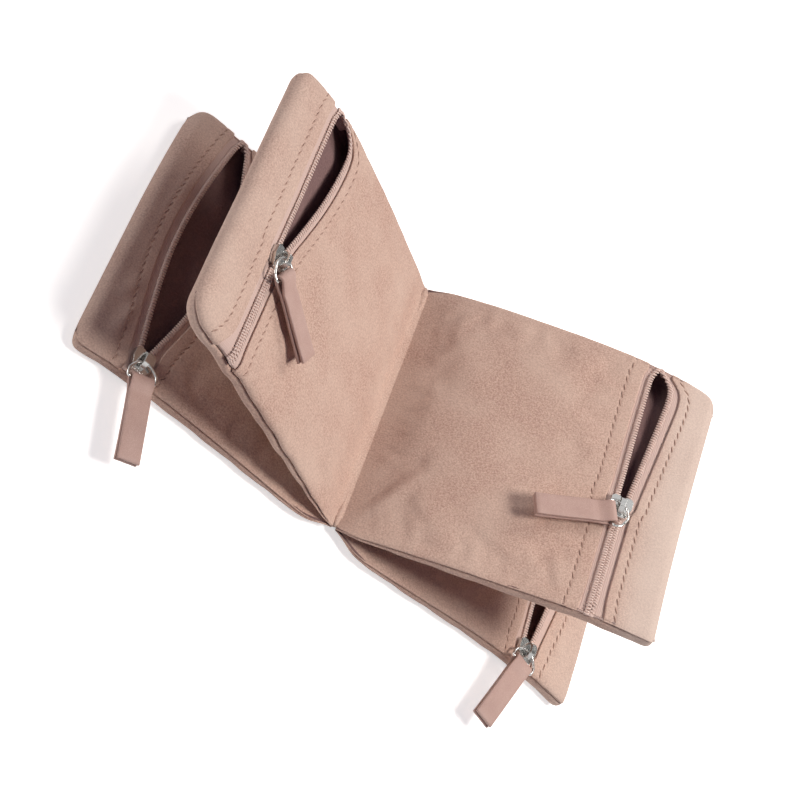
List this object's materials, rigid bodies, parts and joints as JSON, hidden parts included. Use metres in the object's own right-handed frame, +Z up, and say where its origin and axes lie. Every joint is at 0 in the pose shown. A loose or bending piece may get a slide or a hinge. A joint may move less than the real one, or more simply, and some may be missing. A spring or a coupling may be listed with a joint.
{
  "type": "travel jewelry organizer",
  "caption": "Soft travel jewelry organizer: zip pockets joined along a stitched spine like a booklet, with leather-tabbed sliders.",
  "frame": {"origin": "on the surface it stands on, in the middle of the bounding box", "axes": "+X across the spine towards the lower right pocket, +Y along the spine from the pull tabs to the far ends of the zips, +Z up"},
  "size_m": [0.2438, 0.144, 0.0717],
  "materials": {
    "front_panel_cloth": "matte brushed microfibre with a fine nap",
    "back_panel_cloth": "matte brushed microfibre with a fine nap",
    "zip_tape": "woven tape with a satin nylon coil",
    "spine_cloth": "matte brushed microfibre, stitched flat",
    "pull_leather": "smooth matte leather",
    "polished_metal": "polished"
  },
  "bodies": {
    "outer_right_pocket": {"spine_seam": "spine_cloth", "outer_right_back_panel": "back_panel_cloth", "outer_right_front_panel": "front_panel_cloth", "outer_right_zip_tape_inner": "zip_tape", "outer_right_zip_tape_outer": "zip_tape"},
    "outer_right_slider": {"outer_right_slider": "polished_metal"},
    "outer_right_pull_ring": {"outer_right_pull_ring": "polished_metal"},
    "outer_right_pull_tab": {"outer_right_pull_tab": "pull_leather"},
    "inner_right_pocket": {"inner_right_back_panel": "back_panel_cloth", "inner_right_front_panel": "front_panel_cloth", "inner_right_zip_tape_inner": "zip_tape", "inner_right_zip_tape_outer": "zip_tape"},
    "inner_right_slider": {"inner_right_slider": "polished_metal"},
    "inner_right_pull_ring": {"inner_right_pull_ring": "polished_metal"},
    "inner_right_pull_tab": {"inner_right_pull_tab": "pull_leather"},
    "inner_left_pocket": {"inner_left_back_panel": "back_panel_cloth", "inner_left_front_panel": "front_panel_cloth", "inner_left_zip_tape_inner": "zip_tape", "inner_left_zip_tape_outer": "zip_tape"},
    "inner_left_slider": {"inner_left_slider": "polished_metal"},
    "inner_left_pull_ring": {"inner_left_pull_ring": "polished_metal"},
    "inner_left_pull_tab": {"inner_left_pull_tab": "pull_leather"},
    "outer_left_pocket": {"outer_left_back_panel": "back_panel_cloth", "outer_left_front_panel": "front_panel_cloth", "outer_left_zip_tape_inner": "zip_tape", "outer_left_zip_tape_outer": "zip_tape"},
    "outer_left_slider": {"outer_left_slider": "polished_metal"},
    "outer_left_pull_ring": {"outer_left_pull_ring": "polished_metal"},
    "outer_left_pull_tab": {"outer_left_pull_tab": "pull_leather"}
  },
  "joints": [
    {"name": "inner_right_fold", "type": "hinge", "parent": "outer_right_pocket", "child": "inner_right_pocket", "pos_m": [0, 0.01598, 0.00425], "axis": [0, -1, 0], "range_deg": [-24.2, 45.8]},
    {"name": "inner_left_fold", "type": "hinge", "parent": "inner_right_pocket", "child": "inner_left_pocket", "pos_m": [0, 0.01598, 0.00425], "axis": [0, -1, 0], "range_deg": [-106.3, 60.7]},
    {"name": "outer_left_fold", "type": "hinge", "parent": "inner_left_pocket", "child": "outer_left_pocket", "pos_m": [0, 0.01598, 0.00425], "axis": [0, -1, 0], "range_deg": [-16.5, 53.5]},
    {"name": "outer_right_zip", "type": "slide", "parent": "outer_right_pocket", "child": "outer_right_slider", "axis": [0, 1, 0], "range_m": [0, 0.1006], "deforming": ["outer_right_zip_tape_inner", "outer_right_zip_tape_outer"]},
    {"name": "outer_right_ring_lift", "type": "hinge", "parent": "outer_right_slider", "child": "outer_right_pull_ring", "pos_m": [0.097, -0.03548, 0.0111], "axis": [-0.9548, 0.2974, 0], "range_deg": [0, 120]},
    {"name": "outer_right_tab_swing", "type": "hinge", "parent": "outer_right_pull_ring", "child": "outer_right_pull_tab", "pos_m": [0.09507, -0.04169, 0.0111], "axis": [-0.9548, 0.2974, 0], "range_deg": [-45, 60]},
    {"name": "inner_right_zip", "type": "slide", "parent": "inner_right_pocket", "child": "inner_right_slider", "axis": [0, 1, 0], "range_m": [-0.0413, 0.0593], "deforming": ["inner_right_zip_tape_inner", "inner_right_zip_tape_outer"]},
    {"name": "inner_right_ring_lift", "type": "hinge", "parent": "inner_right_slider", "child": "inner_right_pull_ring", "pos_m": [0.07687, 0.00698, 0.0648], "axis": [-0.7868, 0.4294, -0.4433], "range_deg": [0, 120]},
    {"name": "inner_right_tab_swing", "type": "hinge", "parent": "inner_right_pull_ring", "child": "inner_right_pull_tab", "pos_m": [0.07384, 0.0016, 0.06367], "axis": [-0.2712, 0.9377, -0.2173], "range_deg": [0, 60]},
    {"name": "inner_left_zip", "type": "slide", "parent": "inner_left_pocket", "child": "inner_left_slider", "axis": [0, 1, 0], "range_m": [-0.0388, 0.0618], "deforming": ["inner_left_zip_tape_inner", "inner_left_zip_tape_outer"]},
    {"name": "inner_left_ring_lift", "type": "hinge", "parent": "inner_left_slider", "child": "inner_left_pull_ring", "pos_m": [-0.08403, 0.00448, 0.05402], "axis": [-0.8763, -0.2996, 0.3774], "range_deg": [0, 120]},
    {"name": "inner_left_tab_swing", "type": "hinge", "parent": "inner_left_pull_ring", "child": "inner_left_pull_tab", "pos_m": [-0.08161, -0.00129, 0.05353], "axis": [-0.4096, -0.8808, 0.2376], "range_deg": [0, 60]},
    {"name": "outer_left_zip", "type": "slide", "parent": "outer_left_pocket", "child": "outer_left_slider", "axis": [0, 1, 0], "range_m": [0, 0.1006], "deforming": ["outer_left_zip_tape_inner", "outer_left_zip_tape_outer"]},
    {"name": "outer_left_ring_lift", "type": "hinge", "parent": "outer_left_slider", "child": "outer_left_pull_ring", "pos_m": [-0.097, -0.03552, 0.0111], "axis": [-0.9632, -0.2689, 0], "range_deg": [0, 70]},
    {"name": "outer_left_tab_swing", "type": "hinge", "parent": "outer_left_pull_ring", "child": "outer_left_pull_tab", "pos_m": [-0.09525, -0.04178, 0.0111], "axis": [-0.9632, -0.2689, 0], "range_deg": [-45, 100]}
  ]
}
